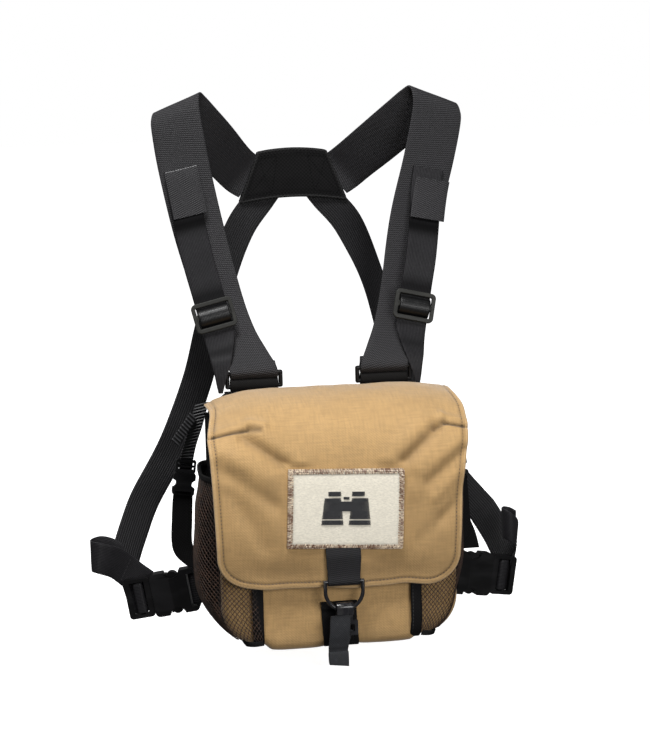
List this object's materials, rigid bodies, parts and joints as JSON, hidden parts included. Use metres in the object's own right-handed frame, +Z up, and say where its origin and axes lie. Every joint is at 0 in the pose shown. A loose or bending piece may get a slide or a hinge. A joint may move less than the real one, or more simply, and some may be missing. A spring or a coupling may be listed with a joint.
{
  "type": "binocular harness pack",
  "caption": "Fabric chest pack with a hinged flap, hook and ring closure, mesh side pockets and a webbing shoulder harness with side buckles.",
  "frame": {"origin": "centre of the back panel's flat face, which lies on the wearer's chest", "axes": "+Y towards the wearer, +Z up, +X to the right of a person who looks at the pack's front"},
  "size_m": [0.3556, 0.2207, 0.4365],
  "materials": {
    "tan_fabric": "coated polyester, plain weave",
    "lining": "smooth lining",
    "black_fabric": "plain weave",
    "mesh": "open net",
    "patch": "napped suede",
    "stiffener": "sheet",
    "foam": "closed-cell foam",
    "black_metal": "satin black",
    "grey_tape": "smooth tape",
    "webbing": "woven polypropylene",
    "black_plastic": "moulded acetal",
    "bronze_thread": "metallic border thread"
  },
  "bodies": {
    "pack": {"back_panel": "black_fabric", "back_stiffener": "stiffener", "rear_wall": "tan_fabric", "front_panel": "tan_fabric", "bottom_panel": "tan_fabric", "base_pad": "foam", "side_gusset_left": "black_fabric", "side_gusset_right": "black_fabric", "pocket_bindings": "black_fabric", "mesh_pocket_left": "mesh", "mesh_pocket_right": "mesh", "mesh_hems": "black_fabric", "closure_webbing": "webbing", "hook_elastic": "webbing", "strap_anchors": "webbing", "strap_loops": "black_plastic", "shoulder_strap_left": "webbing", "shoulder_strap_right": "webbing", "strap_overlays": "webbing", "adjuster_strap_left": "webbing", "adjuster_strap_right": "webbing", "yoke_front": "black_fabric", "yoke_back": "black_fabric", "side_strap_left": "webbing", "side_strap_right": "webbing", "strap_end_left": "webbing", "strap_end_right": "webbing", "wing_tab_left": "webbing", "wing_tab_right": "webbing", "buckle_female_left": "black_plastic", "buckle_female_right": "black_plastic", "tether_upper_left": "webbing", "tether_upper_right": "webbing", "tether_female_left": "black_plastic", "tether_female_right": "black_plastic", "tether_lower_left": "webbing", "tether_lower_right": "webbing"},
    "flap": {"flap_shell": "tan_fabric", "flap_lining": "lining", "flap_binding": "tan_fabric", "patch": "patch", "closure_tab": "webbing"},
    "ring": {"closure_ring": "black_metal"},
    "hook": {"closure_hook": "black_metal", "pull_tab": "grey_tape"},
    "glide_left": {"tri_glide_left": "black_plastic", "glide_bight_left": "webbing"},
    "buckle_left": {"buckle_male_left": "black_plastic", "pull_loop_left": "webbing"},
    "latch_upper_left": {"latch_upper_left": "black_plastic"},
    "latch_lower_left": {"latch_lower_left": "black_plastic"},
    "tether_left": {"tether_male_left": "black_plastic"},
    "glide_right": {"tri_glide_right": "black_plastic", "glide_bight_right": "webbing"},
    "buckle_right": {"buckle_male_right": "black_plastic", "pull_loop_right": "webbing"},
    "latch_upper_right": {"latch_upper_right": "black_plastic"},
    "latch_lower_right": {"latch_lower_right": "black_plastic"},
    "tether_right": {"tether_male_right": "black_plastic"}
  },
  "joints": [
    {"name": "flap_hinge", "type": "hinge", "parent": "pack", "child": "flap", "pos_m": [0, -0.01, 0.0945], "axis": [-1, 0, 0], "range_deg": [0, 82]},
    {"name": "ring_swing", "type": "hinge", "parent": "flap", "child": "ring", "pos_m": [0, -0.0996, -0.0395], "axis": [-1, 0, 0], "range_deg": [0, 112]},
    {"name": "hook_lift", "type": "slide", "parent": "pack", "child": "hook", "axis": [0, 0, 1], "range_m": [0, 0.008], "deforming": ["hook_elastic"]},
    {"name": "glide_left_slide", "type": "slide", "parent": "pack", "child": "glide_left", "axis": [-0.2173, 0.2588, 0.9412], "range_m": [0, 0.018]},
    {"name": "buckle_left_pull", "type": "slide", "parent": "pack", "child": "buckle_left", "axis": [-0.9661, 0.2001, -0.1633], "range_m": [0, 0.028], "deforming": ["latch_upper_left", "latch_lower_left", "strap_end_left"]},
    {"name": "latch_upper_left_press", "type": "hinge", "parent": "buckle_left", "child": "latch_upper_left", "pos_m": [-0.1385, 0.00443, -0.05693], "axis": [0.2028, 0.9792, 0], "range_deg": [0, 9], "stiffness_Nm_per_rad": 0.2},
    {"name": "latch_lower_left_press", "type": "hinge", "parent": "buckle_left", "child": "latch_lower_left", "pos_m": [-0.1353, 0.00377, -0.07666], "axis": [0.2028, 0.9792, 0], "range_deg": [-9, 0], "stiffness_Nm_per_rad": 0.2},
    {"name": "tether_left_pull", "type": "slide", "parent": "pack", "child": "tether_left", "axis": [0.1392, 0, 0.9903], "range_m": [0, 0.014], "deforming": ["tether_upper_left"]},
    {"name": "glide_right_slide", "type": "slide", "parent": "pack", "child": "glide_right", "axis": [0.2173, 0.2588, 0.9412], "range_m": [0, 0.018]},
    {"name": "buckle_right_pull", "type": "slide", "parent": "pack", "child": "buckle_right", "axis": [0.9661, 0.2001, -0.1633], "range_m": [0, 0.028], "deforming": ["latch_upper_right", "latch_lower_right", "strap_end_right"]},
    {"name": "latch_upper_right_press", "type": "hinge", "parent": "buckle_right", "child": "latch_upper_right", "pos_m": [0.1385, 0.00443, -0.05693], "axis": [0.2028, -0.9792, 0], "range_deg": [0, 9], "stiffness_Nm_per_rad": 0.2},
    {"name": "latch_lower_right_press", "type": "hinge", "parent": "buckle_right", "child": "latch_lower_right", "pos_m": [0.1353, 0.00377, -0.07666], "axis": [0.2028, -0.9792, 0], "range_deg": [-9, 0], "stiffness_Nm_per_rad": 0.2},
    {"name": "tether_right_pull", "type": "slide", "parent": "pack", "child": "tether_right", "axis": [-0.1392, 0, 0.9903], "range_m": [0, 0.014], "deforming": ["tether_upper_right"]}
  ],
  "couplings": [
    {"joint": "latch_lower_left_press", "follows": "latch_upper_left_press", "ratio": -1},
    {"joint": "latch_lower_right_press", "follows": "latch_upper_right_press", "ratio": -1}
  ]
}
